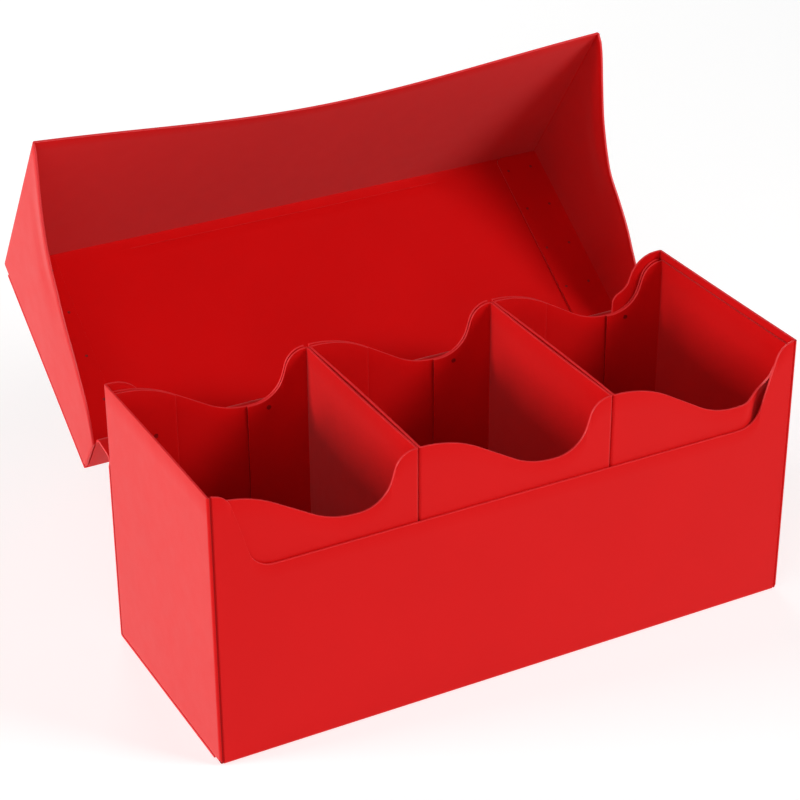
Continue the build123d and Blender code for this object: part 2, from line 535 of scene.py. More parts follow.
class Nodes:
    """Small helper that adds and links the shader nodes of one material."""

    def __init__(self, name: str) -> None:
        """Start a material of one plastic shader."""
        self.material = bpy.data.materials.new(name)
        self.material.use_nodes = True
        self.tree = self.material.node_tree
        self.tree.nodes.clear()
        self.output = self.add("ShaderNodeOutputMaterial")
        self.shader = self.add("ShaderNodeBsdfPrincipled")
        self.link(self.shader, "BSDF", self.output, "Surface")
        self.place = self.add("ShaderNodeTexCoord")

    def add(self, kind: str, **settings: object) -> Node:
        """Add a node with its settings."""
        node = self.tree.nodes.new(kind)
        self.tune(node, **settings)
        return node

    def tune(self, node: Node, **settings: object) -> None:
        """Set up a node.

        Args:
            node: The node.
            settings: Input values, or properties where the key names no input.
        """
        for key, value in settings.items():
            socket = node.inputs.get(key.replace("_", " "))
            if socket is not None:
                socket.default_value = value
            else:
                setattr(node, key, value)

    def link(self, source: Node, out: str, target: Node, into: str | int) -> None:
        """Link an output socket to an input socket."""
        self.tree.links.new(source.outputs[out], target.inputs[into])

    def noise(self, scale: float, detail: float, rough: float = 0.5) -> Node:
        """Noise on the piece's own place.

        Args:
            scale: Cells in a metre.
            detail: Layers of ever finer noise.
            rough: Strength of the finer layers.

        Returns:
            The noise.
        """
        node = self.add("ShaderNodeTexNoise", Scale=scale, Detail=detail, Roughness=rough)
        self.link(self.place, "Object", node, "Vector")
        return node

    def mottle(self, pattern: Node, shade: Colour, light: Colour) -> None:
        """Let the base colour wander between two.

        Args:
            pattern: What it follows.
            shade: Colour where the pattern is low.
            light: Colour where it is high.
        """
        mix = self.add("ShaderNodeMix", data_type="RGBA")
        first, second = mix.inputs[MIX_COLOURS]
        first.default_value, second.default_value = (*shade, 1), (*light, 1)
        self.link(pattern, "Fac", mix, 0)
        self.tree.links.new(mix.outputs[MIX_RESULT], self.shader.inputs["Base Color"])

    def roughen(self, pattern: Node, low: float, high: float) -> None:
        """Let the roughness wander between two values.

        Args:
            pattern: What it follows.
            low: Roughness where the pattern is low.
            high: Roughness where it is high.
        """
        node = self.add("ShaderNodeMapRange", From_Min=0.3, From_Max=0.7, To_Min=low, To_Max=high)
        self.link(pattern, "Fac", node, "Value")
        self.link(node, "Result", self.shader, "Roughness")

    def dent(
        self, pattern: Node, strength: float, depth: float, under: Node | None = None
    ) -> Node:
        """Bump the surface with a pattern.

        Args:
            pattern: What gives the height.
            strength: Share of the bump that shows.
            depth: Its full depth, in millimetres.
            under: A coarser bump that this one lies on.

        Returns:
            The bump.
        """
        bump = self.add("ShaderNodeBump", Strength=strength, Distance=depth * MM)
        self.link(pattern, "Fac", bump, "Height")
        if under is not None:
            self.link(under, "Normal", bump, "Normal")
        self.link(bump, "Normal", self.shader, "Normal")
        return bump


@dataclass(frozen=True)
class SheetFinish:
    """Satin polypropylene sheet: cloudy colour, calendered sheen and a fine matt grain."""

    name: str
    light: Colour = (0.69, 0.0022, 0.0028)
    deep: Colour = (0.64, 0.0017, 0.0022)
    gloss: float = 0.08
    haze: float = 0.24        # pale bloom that a matt grain shows at a slant
    smoothest: float = 0.38
    roughest: float = 0.46
    grain: float = 0.02       # depth of the grain, in millimetres
    grain_scale: float = 2600.0
    ripple: float = 0.05      # depth of the calender ripple, in millimetres

    def make(self) -> Material:
        """Make the material.

        Returns:
            The finished material.
        """
        nodes = Nodes(self.name)
        nodes.mottle(nodes.noise(28.0, 3.0), self.deep, self.light)
        nodes.roughen(nodes.noise(160.0, 4.0, 0.6), self.smoothest, self.roughest)
        waves = nodes.dent(nodes.noise(70.0, 2.0), 0.35, self.ripple)
        nodes.dent(nodes.noise(self.grain_scale, 2.0, 0.6), 0.3, self.grain, waves)
        nodes.tune(
            nodes.shader, IOR=PLASTIC_IOR, Specular_IOR_Level=self.gloss,
            Sheen_Weight=self.haze, Sheen_Roughness=0.4,
        )
        return nodes.material


@dataclass(frozen=True)
class WeldAndPaintedLightFinish:
    """Sheet that a blade or a weld has worked, or where shade is painted into a crease: one noise for colour,
    sheen and dents. The cut edge's paler colour is partly a painted highlight.
    """

    name: str
    shade: Colour
    light: Colour
    scale: float
    rough: tuple[float, float]
    unrest: float = 0.6       # roughness of the noise
    strength: float = 0.4
    depth: float = 0.02
    gloss: float = 0.5
    ior: float = PLASTIC_IOR

    def make(self) -> Material:
        """Make the material.

        Returns:
            The finished material.
        """
        nodes = Nodes(self.name)
        marks = nodes.noise(self.scale, 3.0, self.unrest)
        nodes.mottle(marks, self.shade, self.light)
        nodes.roughen(marks, *self.rough)
        nodes.dent(marks, self.strength, self.depth)
        nodes.tune(nodes.shader, IOR=self.ior, Specular_IOR_Level=self.gloss)
        return nodes.material


@dataclass(frozen=True)
class Finishes:
    """The materials of the whole part."""

    shell: Material
    insert: Material
    cut_edge: Material
    # Dark finish that paints shade into crease grooves and the gaps at the inserts' flap ends.
    crease: Material
    weld: Material

    def of(self, slot: Slot) -> tuple[Material, ...]:
        """Face finish, paler cut edge finish (partly a painted highlight) and dark painted crease shade of a
        sheet.
        """
        return (self.shell if slot is Slot.SHELL else self.insert, self.cut_edge, self.crease)

    @classmethod
    def make(cls) -> "Finishes":
        """Make every material once."""
        return cls(
            shell=SheetFinish("shell_satin").make(),
            insert=SheetFinish("insert_satin", grain_scale=2300.0).make(),
            # Cut edge: paler colour, partly the real whitened cut and partly a painted highlight.
            cut_edge=WeldAndPaintedLightFinish(
                "sheet_cut_edge", (0.70, 0.012, 0.015), (0.82, 0.030, 0.034), 900.0, (0.42, 0.6), 0.7
            ).make(),
            # Crease: dark colour painted as shade in the corner grooves and at the inserts' flap ends.
            crease=WeldAndPaintedLightFinish(
                "painted_crease_shade", (0.32, 0.0006, 0.0009), (0.40, 0.0010, 0.0014), 420.0, (0.38, 0.5),
                gloss=0.08,
            ).make(),
            weld=WeldAndPaintedLightFinish(
                "weld_melt", MELT, MELT, 2200.0, (0.28, 0.5), strength=0.5, depth=0.03, ior=1.5
            ).make(),
        )


# ---------------------------------------------------------------- weld marks
@dataclass
class WeldMarks:
    """Small melted rings where two thicknesses of sheet are welded."""

    name: str
    slot: Slot
    spots: Sequence[Vector]
    facing: Vector
    radius: float = 0.52
    proud: float = 0.07
    root: float = 0.25
    sides: int = 18

    def make_one(self, spot: Vector) -> Piece:
        """Model one mark: a low disc with a rounded lip and a sunk middle.

        Args:
            spot: Where its face lies, in millimetres.

        Returns:
            The mark.
        """
        bpy.ops.object.select_all(action="DESELECT")
        tilt = at(0, 1).rotation_difference(self.facing).to_euler()
        middle = spot + self.facing * (self.proud - self.root) / 2
        bpy.ops.mesh.primitive_cylinder_add(
            vertices=self.sides, radius=self.radius * MM, depth=(self.proud + self.root) * MM,
            location=middle * MM, rotation=tilt,
        )
        mark = bpy.context.object
        bpy.ops.object.transform_apply(location=True, rotation=True, scale=True)
        bpy.ops.object.mode_set(mode="EDIT")
        bpy.ops.mesh.select_mode(type="FACE")
        bpy.ops.mesh.select_all(action="DESELECT")
        shape = bmesh.from_edit_mesh(mark.data)
        shape.normal_update()
        for face in shape.faces:
            face.select_set(face.normal.dot(self.facing) > 0.9)
        bmesh.update_edit_mesh(mark.data)
        bpy.ops.mesh.inset(thickness=self.radius * 0.22 * MM)
        bpy.ops.mesh.inset(thickness=self.radius * 0.2 * MM)
        bpy.ops.transform.translate(value=self.facing * -(self.proud * 0.6) * MM)
        bpy.ops.object.mode_set(mode="OBJECT")
        return mark

    def build(self, finishes: Finishes) -> Piece:
        """Model every mark and join them.

        Args:
            finishes: The part's materials.

        Returns:
            The joined marks.
        """
        marks = [self.make_one(spot) for spot in self.spots]
        bpy.ops.object.select_all(action="DESELECT")
        for mark in marks:
            mark.select_set(True)
        bpy.context.view_layer.objects.active = marks[0]
        bpy.ops.object.join()
        joined = bpy.context.object
        joined.name = joined.data.name = self.name
        joined.data.materials.append(finishes.weld)
        bpy.ops.object.shade_smooth_by_angle(angle=math.radians(40))
        return joined


# ---------------------------------------------------------------- outer box
@dataclass
class Folded:
    """What every folded sub-assembly works from."""

    size: Frame
    finishes: Finishes


@dataclass
class OuterBox(Folded):
    """Front and side walls with their glue ears and base flaps, folded from one sheet."""

    fold: float = 0.84             # outer radius of a fold
    support: float = 0.45          # from a fold to the next line of the mesh
    recess_drop: float = 29.6
    horn_top: float = 6.5
    horn_foot: float = 15.1
    horn_setbacks: tuple[float, float] = (5.4, 6.8)
    ear_line: tuple[Point, ...] = ((0.0, 0.0), (11.2, 0.0), (14.3, 11.7), (20.6, 14.8), (20.6, 60.0))
    ear_setbacks: tuple[float, float, float] = (8.6, 3.0, 2.6)
    flap_width: float = 15.2
    base_tongue: float = 4.0       # how far the sheet runs on under the base
    groove: tuple[Point, ...] = ((0.02, 0.02), (0.2, 0.34), (0.62, 0.34), (0.9, 0.0))
    groove_depth: float = 0.4      # more than the deepest place of the groove
    # Reach of the dark shade painted along each front corner's crease groove.
    crease_shade_reach: tuple[float, float] = (0.75, 0.12)   # in front of a corner's fold, and behind it
    side_bow: float = 0.15
    front_bow: float = 0.12

    def front_outline(self) -> list[Point]:
        """Top edge of the front wall.

        Returns:
            Its points: horn, recess, horn.
        """
        half, rim = self.size.half_width, self.size.rim
        left = [(-half, rim), (-half + self.horn_top, rim), (-half + self.horn_foot, rim - self.recess_drop)]
        corners = left + [(-x, z) for x, z in reversed(left)]
        return rounded(corners, [*self.horn_setbacks, *reversed(self.horn_setbacks)], 9)

    def ear_outline(self) -> list[Point]:
        """Top edge of a glue ear, as (in from the side face, height), side face first."""
        corners = [(x, self.size.rim - drop) for x, drop in self.ear_line]
        return rounded(corners, self.ear_setbacks, 6)[:-1]

    def ribs(self) -> list[Rib]:
        """Lines of the sheet.

        Returns:
            Them in order, from the left ear's inner edge round the front to the right one's.
        """
        s, r = self.size, self.fold
        front, ear = self.front_outline(), self.ear_outline()
        foot_side, foot_front = s.sheet + r + self.support, r + self.support
        half, back = s.half_width, s.ear_outer
        left: list[Rib] = []
        insets = sorted({round(x, 4) for x, _ in ear if x > r + 0.2}, reverse=True) + [r + self.support]
        for inset in insets:
            left.append(upright(-half + inset, back, foot_side, level(ear, inset)))
        for x, y in arc((-half + r, back - r), r, 90, 180):
            left.append(upright(x, y, foot_side, s.rim))
        for y in spread(back - r - self.support, s.front + r + self.support, 14):
            left.append(upright(-half, y, foot_side, s.rim))
        corner = arc((-half + r, s.front + r), r, 180, 270)
        left += round_corner(corner, foot_side, foot_front, lambda x: level(front, x))
        for inset, depth in self.groove:
            x = -half + r + inset
            left.append(upright(x, s.front + depth, foot_front, level(front, x)))
        start = r + self.groove[-1][0] + self.support
        stops = [x for x, _ in front if -half + start + 0.1 < x < -half + self.horn_foot + 8]
        row = [-half + start, *stops, *spread(-half + self.horn_foot + 9, 0, 12)]
        for x in row:
            left.append(upright(x, s.front, foot_front, level(front, x)))
        return mirrored(left)

    def bow(self, p: Vector) -> Vector:
        """Slight inward bow of the walls between their folds.

        Args:
            p: A corner's place in millimetres.

        Returns:
            Its shift in millimetres.
        """
        s = self.size
        tall = hump((p.z - 2) / (s.rim - 2) * 0.6)
        if on(abs(p.x), s.half_width):
            reach = hump((p.y - s.front) / (s.back - s.front))
            return Vector((-math.copysign(self.side_bow * tall * reach, p.x), 0, 0))
        if on(p.y, s.front) and abs(p.x) < s.half_width - 3:
            return Vector((0, self.front_bow * tall * hump((p.x / s.half_width + 1) / 2), 0))
        return Vector()

    def build(self) -> Piece:
        """Fold the sheet.

        Returns:
            The finished sheet.
        """
        s, r, support = self.size, self.fold, self.support
        bench = Bench("box_walls", Along.UPRIGHT)
        bench.draw(self.ribs())
        bench.divide(12)
        fold_line = s.half_width - r
        # Paint shade along the groove beside each front corner's fold.
        ahead, behind = self.crease_shade_reach
        bench.paint_shade(lambda p: fold_line - ahead < -p.x < fold_line + behind and p.y < s.front + 0.45)
        bench.press(self.bow)
        foot = r + support
        under = [at(s.front, foot), at(s.front, r)]
        under += [at(s.front + r + y, r + z) for y, z in arc((0, 0), r, 180, 270)[1:]]
        under += [at(s.front + r + self.base_tongue, 0)]
        bench.fold_on(
            lambda p: abs(p.y - s.front) < self.groove_depth
            and on(p.z, foot) and abs(p.x) < fold_line + SNAP,
            under,
        )
        for side in (-1, 1):
            outer, z0 = side * s.half_width, s.sheet
            flap = [Vector((outer, 0, z0 + foot)), Vector((outer, 0, z0 + r))]
            flap += [Vector((outer - side * (r + x), 0, z0 + r + z)) for x, z in arc((0, 0), r, 180, 270)[1:]]
            flap += [Vector((outer - side * (r + reach), 0, z0)) for reach in (self.support, self.flap_width)]
            bench.fold_on(lambda p: abs(p.x - outer) < self.groove_depth and on(p.z, z0 + foot), flap)
        bench.face_out(at(s.front, 40), at(-1, 0))
        end = s.front + r + self.base_tongue
        sheet = bench.finish(s.sheet, self.finishes.of(Slot.SHELL), lambda p: on(p.y, end) and p.z < 1)
        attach(sheet, "box")
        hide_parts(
            "front_wall", "left_wall", "right_wall",
            "left_back_ear", "right_back_ear", "left_base_flap", "right_base_flap",
        )
        return sheet


# ---------------------------------------------------------------- back wall, hinge strip, lid back
@dataclass
class Spine(Folded):
    """The long panel: base, back wall, hinge strip, lid back and lid top, made as two sheets."""

    fold: float = 0.9
    support: float = 0.45
    base_tongue: float = 4.0
    crease_reach: float = 1.8      # how far the bend at a crease starts from it
    blend_reach: float = 1.55      # how far from a crease a point still turns with it
    back_bow: float = 0.25
    top_bow: float = 0.5

    def bend(self, before: Vector, corner: Vector, after: Vector, steps: int = 8) -> list[Point]:
        """Points of the soft bend at a crease, as (y, z)."""
        line = [(v.y, v.z) for v in (before, corner, after)]
        return rounded(line, [self.crease_reach], steps)[1:-1]

    def build_box_side(self) -> Piece:
        """Base, back wall and the near half of the hinge strip.

        Returns:
            The finished sheet.
        """
        s, r = self.size, self.fold
        middle = (s.axis + s.crease) / 2
        start = s.front + r + self.base_tongue
        path = [(y, 0.0) for y in spread(start, s.back - r - self.support, 6)]
        path += arc((s.back - r, r), r, -90, 0)
        path += [(s.back, z) for z in spread(r + self.support, s.axis.z - self.crease_reach - 1.5, 12)]
        path += self.bend(s.axis - at(0, 9), s.axis, middle)
        path += between(s.axis, middle, (0.6, 0.8, 1.0))
        narrow = s.axis.z - self.crease_reach - 1.4
        ribs = [across(s.strip_half if z > narrow else s.half_width, y, z) for y, z in path]
        bench = Bench("box_back", Along.ACROSS)
        bench.draw(ribs)
        bench.divide(28)
        bench.press(self.bow_back)
        bench.face_out(at(s.back, 40), at(1, 0))
        sheet = bench.finish(
            s.sheet,
            self.finishes.of(Slot.SHELL),
            lambda p: on(p.y, start) or (p - middle).dot(s.crease - s.axis) > -0.5 and p.y > s.back + 0.5,
        )
        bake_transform(sheet)
        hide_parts("base_panel", "back_wall", "hinge_strip")
        return sheet

    def bow_back(self, p: Vector) -> Vector:
        """Slight inward bow of the back wall.

        Args:
            p: A corner's place in millimetres.

        Returns:
            Its shift in millimetres.
        """
        s = self.size
        if not on(p.y, s.back):
            return Vector()
        tall, wide = hump(p.z / (s.axis.z - 3)), hump((p.x / s.half_width + 1) / 2)
        return Vector((0, -self.back_bow * tall * wide, 0))

    def build_lid_side(self, lid: "Lid") -> Piece:
        """Far half of the hinge strip, lid back and lid top.

        Args:
            lid: The lid whose walls this sheet meets.

        Returns:
            The finished sheet.
        """
        s, r = self.size, self.fold
        middle = (s.axis + s.crease) / 2
        swing = s.lid_swing
        peak, back = lid.peak, s.back

        def opened(y: float, z: float) -> Point:
            """Where a place of the closed lid lies as the box stands."""
            place = swing @ (at(y, z) * MM) / MM
            return (place.y, place.z)

        below = Vector((0, *opened(back, s.closed_crease.z + 9)))
        path = between(middle, s.crease, (0.0, 0.2, 0.4))
        path += self.bend(middle, s.crease, below)
        path += [opened(back, z) for z in spread(s.closed_crease.z + 3.3, peak - r - self.support, 5)]
        path += [opened(y, z) for y, z in arc((back - r, peak - r), r, 0, 90)]
        widening = len(path) - 5
        path += [opened(y, peak) for y in spread(back - r - self.support, lid.seam, 18)]
        ribs = [
            across(s.strip_half if step < widening else lid.half_width, y, z)
            for step, (y, z) in enumerate(path)
        ]
        bench = Bench("lid_back_and_top", Along.ACROSS)
        bench.draw(ribs)
        bench.divide(32)
        top, out = Vector((0, *opened(0, peak))), (swing.to_3x3() @ at(0, 1))
        edge = Vector((0, *opened(lid.seam, peak)))
        inward = (Vector((0, *opened(back, peak))) - edge).normalized()
        reach = (Vector((0, *opened(back, peak))) - edge).length

        def bow(p: Vector) -> Vector:
            """Slight outward bow of the lid top."""
            swell = hump((p - edge).dot(inward) / reach) * hump((p.x / lid.half_width + 1) / 2)
            return out * (self.top_bow * swell) if on((p - top).dot(out), 0) else Vector()

        bench.press(bow)
        bench.face_out(top, out)
        sheet = bench.finish(
            s.sheet,
            self.finishes.of(Slot.SHELL),
            lambda p: on((p - edge).dot(inward), 0)
            or (p - middle).dot(s.crease - s.axis) < 0.5 and p.y < s.back + 10,
        )
        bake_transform(sheet)
        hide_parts("lid_back", "lid_top")
        return sheet


# ---------------------------------------------------------------- lid
@dataclass
class Lid(Folded):
    """Lid front and sides with their glue flaps, folded from one sheet."""

    half_width: float = 110.6
    front: float = -43.3
    peak: float = 101.8            # lid top's outer face, with the box closed
    fold: float = 0.9
    support: float = 0.45
    tongue: float = 4.0            # how far the sheet runs on into the lid top
    tip_drop: float = 76.9         # lid top down to the free edge, at the corners
    middle_drop: float = 64.1
    edge_blend: float = 0.5        # between a plain arc and an ogee
    side_knots: tuple[Point, ...] = (
        (0.0, 17.9), (6.6, 23.9), (11.9, 27.4), (17.6, 30.1), (25.3, 33.8), (35.4, 37.5), (44.9, 40.9),
        (52.9, 45.6), (58.5, 49.8), (63.7, 54.4), (71.8, 63.6), (78.1, 71.4), (82.2, 75.6), (85.5, 76.9),
    )
    flap_width: float = 18.4
    flap_rounding: float = 2.5
    flap_end: float = 41.0         # back end of a glue flap
    weld_columns: tuple[float, ...] = (95.0, 105.0)            # from the middle of the lid
    weld_rows: tuple[float, ...] = (23.4, 41.5, 60.0, 78.0)    # from the lid back
    side_bow: float = 0.5
    front_bow: float = 0.3
    curl: float = 1.6              # how far the free corners curl inwards
    curl_reach: float = 16.0       # and how far from the free edge that starts
    stiff: float = 2.2             # below the lid top, where nothing bows
    corner_rise: float = 0.8       # how far the front corners run up to close the gap under the lid top

    @property
    def seam(self) -> float:
        """Where this sheet's tongue meets the rest of the lid top."""
        return self.front + self.fold + self.tongue

    def front_drop(self, x: float) -> float:
        """Free edge of the lid front, below the lid top.

        Args:
            x: Place across the lid.

        Returns:
            The drop.
        """
        share = min(1.0, abs(x) / self.half_width)
        arch, ogee = share * share, (1 - math.cos(math.pi * share)) / 2
        mix = arch + (ogee - arch) * self.edge_blend
        return self.middle_drop + (self.tip_drop - self.middle_drop) * mix

    def side_drop(self, y: float) -> float:
        """Free edge of a lid side, below the lid top, on a smooth curve through its knots.

        Args:
            y: Place from front to back.

        Returns:
            The drop.
        """
        u = self.size.back - y
        knots = self.side_knots
        for k in range(len(knots) - 1):
            (u0, v0), (u1, v1) = knots[k], knots[k + 1]
            if u <= u1 or k == len(knots) - 2:
                break
        before, after = knots[max(0, k - 1)], knots[min(len(knots) - 1, k + 2)]
        m0 = (v1 - before[1]) / (u1 - before[0]) * (u1 - u0)
        m1 = (after[1] - v0) / (after[0] - u0) * (u1 - u0)
        t = min(1.0, max(0.0, (u - u0) / (u1 - u0)))
        t2, t3 = t * t, t * t * t
        return (2 * t3 - 3 * t2 + 1) * v0 + (t3 - 2 * t2 + t) * m0 + (3 * t2 - 2 * t3) * v1 + (t3 - t2) * m1

    def ribs(self) -> list[Rib]:
        """Lines of the sheet.

        Returns:
            Them in order, from the left side's back end round the front to the right one's.
        """
        s, r = self.size, self.fold
        foot_front = self.peak - r - self.support
        foot_side = foot_front - s.sheet
        left: list[Rib] = []
        stops = [s.back, *spread(self.flap_end, self.front + r + self.support, 36)]
        for y in stops:
            left.append(upright(-self.half_width, y, foot_side, self.peak - self.side_drop(y)))
        corner = arc((-self.half_width + r, self.front + r), r, 180, 270)
        tip = self.peak - self.tip_drop
        left += round_corner(corner, foot_side, foot_front, lambda x: tip, self.corner_rise)
        for x in spread(-self.half_width + r + self.support, 0, 26):
            left.append(upright(x, self.front, foot_front, self.peak - self.front_drop(x)))
        return mirrored(left)

    def bow(self, p: Vector) -> Vector:
        """Slight outward bow of the panels, with the free corners curled in.

        Args:
            p: A corner's place in millimetres.

        Returns:
            Its shift in millimetres.
        """
        s = self.size
        low = max(0.0, self.peak - p.z - self.stiff) / self.tip_drop
        if on(abs(p.x), self.half_width):
            reach = (s.back - p.y) / (s.back - self.front)
            free = self.peak - self.side_drop(p.y)
            near = ease(1 - (p.z - free) / self.curl_reach)
            out = self.side_bow * hump(low * 0.9) - self.curl * near * ease(reach * 1.6 - 0.5)
            return Vector((math.copysign(out * hump(reach), p.x), 0, 0))
        if on(p.y, self.front):
            share = (p.x / self.half_width + 1) / 2
            return Vector((0, -self.front_bow * hump(share) * ease(low * 1.2), 0))
        return Vector()

    def build(self) -> Piece:
        """Fold the sheet and throw it back.

        Returns:
            The finished sheet.
        """
        s, r, support = self.size, self.fold, self.support
        bench = Bench("lid_walls", Along.UPRIGHT)
        bench.draw(self.ribs())
        bench.divide(14)
        top = self.peak - r
        over = [at(self.front, top - support), at(self.front, top)]
        over += [at(self.front + r + y, top + z) for y, z in arc((0, 0), r, 180, 90)[1:]]
        over += [at(self.seam, self.peak)]
        bench.fold_on(
            lambda p: on(p.y, self.front) and on(p.z, top - support)
            and abs(p.x) < self.half_width - r + SNAP,
            over,
        )
        for side in (-1, 1):
            self.fold_flap(bench, side)
        bench.press(self.bow)
        bench.face_out(at(self.front, 70), at(-1, 0))
        flap_line = self.half_width - self.flap_width
        sheet = bench.finish(
            s.sheet,
            self.finishes.of(Slot.SHELL),
            lambda p: on(p.y, self.seam) and p.z > self.peak - 1,
            lambda p: p.z > self.peak - 2 and abs(p.x) < flap_line + 4,
        )
        place_by(sheet, s.lid_swing)
        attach(sheet, "lid")
        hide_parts("lid_front", "lid_left_side", "lid_right_side", "lid_left_flap", "lid_right_flap")
        return sheet

    def weld(self) -> Piece:
        """Put the weld marks on both glue flaps.

        Returns:
            The joined marks.
        """
        under = self.peak - 2 * self.size.sheet
        spots = [
            Vector((side * aside, self.size.back - along, under))
            for side in (-1, 1)
            for aside in self.weld_columns
            for along in self.weld_rows
        ]
        marks = WeldMarks("lid_welds", Slot.SHELL, spots, at(0, -1)).build(self.finishes)
        place_by(marks, self.size.lid_swing)
        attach(marks, "lid")
        return marks

    def fold_flap(self, bench: Bench, side: int) -> None:
        """Fold one side's glue flap on, under the lid top, with its front corner rounded.

        Args:
            bench: Where the sheet lies.
            side: -1 for the left side, 1 for the right one.
        """
        r, outer = self.fold, side * self.half_width
        top = self.peak - self.size.sheet - r
        flat = self.flap_width - self.size.sheet - self.flap_rounding
        flap = [Vector((outer, 0, top - self.support)), Vector((outer, 0, top))]
        flap += [Vector((outer - side * (r + x), 0, top + z)) for x, z in arc((0, 0), r, 180, 90)[1:]]
        flap += [Vector((outer - side * (self.size.sheet + reach), 0, top + r)) for reach in (1.0, flat)]
        bench.fold_on(
            lambda p: on(p.x, outer) and on(p.z, top - self.support) and p.y < self.flap_end + SNAP,
            flap,
        )
        front = self.front + r + self.support
        anchor = at(self.flap_end, 0) * MM
        length = self.flap_end - front
        for x, drop in arc((0, self.flap_rounding), self.flap_rounding, -90, 0, 4)[1:]:
            before = flap[-1]
            after = Vector((outer - side * (self.size.sheet + flat + x), 0, top + r))
            bpy.ops.mesh.extrude_region_move(TRANSFORM_OT_translate={"value": (after - before) * MM})
            flap.append(after)
            wanted = self.flap_end - front - drop
            bpy.ops.transform.resize(value=(1, wanted / length, 1), center_override=anchor)
            length = wanted


# ---------------------------------------------------------------- card inserts
@dataclass
class CardInsert(Folded):
    """One card insert: front, sides, two glue flaps, floor and back, folded from one sheet."""

    name: str
    fold: float = 0.9
    support: float = 0.4
    wave_drop: float = 17.8
    wave_corners: tuple[float, ...] = (0.17, 0.58, 0.835, 0.908)
    wave_setbacks: tuple[float, ...] = (0.16, 0.11, 0.125, 0.078)
    flap_share: float = 0.32
    flap_stand: float = 1.0        # how far a glue flap stands off the back, at its fold
    weld_inset: float = 15.2
    weld_heights: tuple[float, ...] = (77.4, 20.0)
    side_bow: float = 0.45
    outer_bow: float = 0.04        # of a side that stands against the box's wall
    sag: float = 0.0               # how far the front's right end is pushed in
    sag_across: tuple[float, ...] = (18.0, 8.0, 7.0)        # start from the right, rise, fall
    sag_down: tuple[float, ...] = (32.0, 12.0, 6.0, 11.0)   # foot below the top, rise, head, fall
    sag_lean: tuple[float, ...] = (0.45, 19.0, 8.0)         # share that goes aside, its foot, rise
    left: float = field(init=False)
    right: float = field(init=False)
    front: float = field(init=False)
    back: float = field(init=False)
    floor: float = field(init=False)
    top: float = field(init=False)
    wall: float = field(init=False)

    def __post_init__(self) -> None:
        """Read the insert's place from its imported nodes."""
        low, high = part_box(f"{self.name}_insert_floor")
        self.left, self.right = low.x / MM, high.x / MM
        self.front, self.back = low.y / MM, high.y / MM
        self.floor, self.wall = low.z / MM, (high.z - low.z) / MM
        self.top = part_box(f"{self.name}_insert_left_side")[1].z / MM

    @property
    def width(self) -> float:
        """Across the insert, outside."""
        return self.right - self.left

    @property
    def middle(self) -> float:
        """Halfway across the insert."""
        return (self.left + self.right) / 2

    @property
    def flap_gap(self) -> float:
        """From the middle to a glue flap's free end."""
        return self.width * (0.5 - self.flap_share)

    def wave(self) -> list[Point]:
        """Wavy top edge, shared by the front, the back and the glue flaps.

        Returns:
            Its points from left to right.
        """
        levels = (0.0, self.wave_drop, self.wave_drop, 0.0)
        inner = [
            (self.left + share * self.width, self.top - drop)
            for share, drop in zip(self.wave_corners, levels)
        ]
        corners = [(self.left, self.top), *inner, (self.right, self.top)]
        return rounded(corners, [share * self.width for share in self.wave_setbacks], 10)

    def stops(self, wave: Sequence[Point], low: float, high: float) -> list[float]:
        """Places where the mesh follows the wave, none more than about 3 mm from the next.

        Args:
            wave: The top edge.
            low: The first place.
            high: The last place.

        Returns:
            The places in order, both ends included.
        """
        inner = [x for x, _ in wave if low + 0.3 < x < high - 0.3]
        found = [low, *inner, high]
        filled = [found[0]]
        for x in found[1:]:
            parts = max(1, round((x - filled[-1]) / 3.0))
            filled += spread(filled[-1], x, parts)[1:]
        return filled

    def flap_line(self, x: float, inner: float, corner: float) -> float:
        """Depth of a glue flap's outer face between its free end and its fold."""
        share = min(1.0, max(0.0, (x - inner) / (corner - inner)))
        return self.back - self.wall - self.flap_stand * share ** 1.6

    def ribs(self) -> list[Rib]:
        """Lines of the sheet.

        Returns:
            Them in order, from the left flap's free end round the front to the right one's.
        """
        r, wave = self.fold, self.wave()
        middle, gap = self.middle, self.flap_gap
        side_foot = self.floor + self.wall + 0.1
        front_foot = self.floor + r + self.support
        depth = self.back - self.wall - self.flap_stand
        ribs: list[Rib] = []
        for x in reversed(self.stops(wave, self.left + r, middle - gap)):
            y = self.flap_line(x, middle - gap, self.left + r)
            ribs.append(upright(x, y, side_foot, level(wave, x)))
        for x, y in arc((self.left + r, depth - r), r, 90, 180)[1:]:
            ribs.append(upright(x, y, side_foot, self.top))
        for y in spread(depth - r - self.support, self.front + r + self.support, 14):
            ribs.append(upright(self.left, y, side_foot, self.top))
        corner = arc((self.left + r, self.front + r), r, 180, 270)
        ribs += round_corner(corner, side_foot, front_foot, lambda x: level(wave, x))
        for x in self.stops(wave, self.left + r + self.support, self.right - r - self.support):
            ribs.append(upright(x, self.front, front_foot, level(wave, x)))
        corner = arc((self.right - r, self.front + r), r, 270, 360)
        ribs += round_corner(corner, front_foot, side_foot, lambda x: level(wave, x))
        for y in spread(self.front + r + self.support, depth - r - self.support, 14):
            ribs.append(upright(self.right, y, side_foot, self.top))
        for x, y in arc((self.right - r, depth - r), r, 0, 90)[:-1]:
            ribs.append(upright(x, y, side_foot, self.top))
        for x in reversed(self.stops(wave, middle + gap, self.right - r)):
            y = self.flap_line(x, middle + gap, self.right - r)
            ribs.append(upright(x, y, side_foot, level(wave, x)))
        return ribs

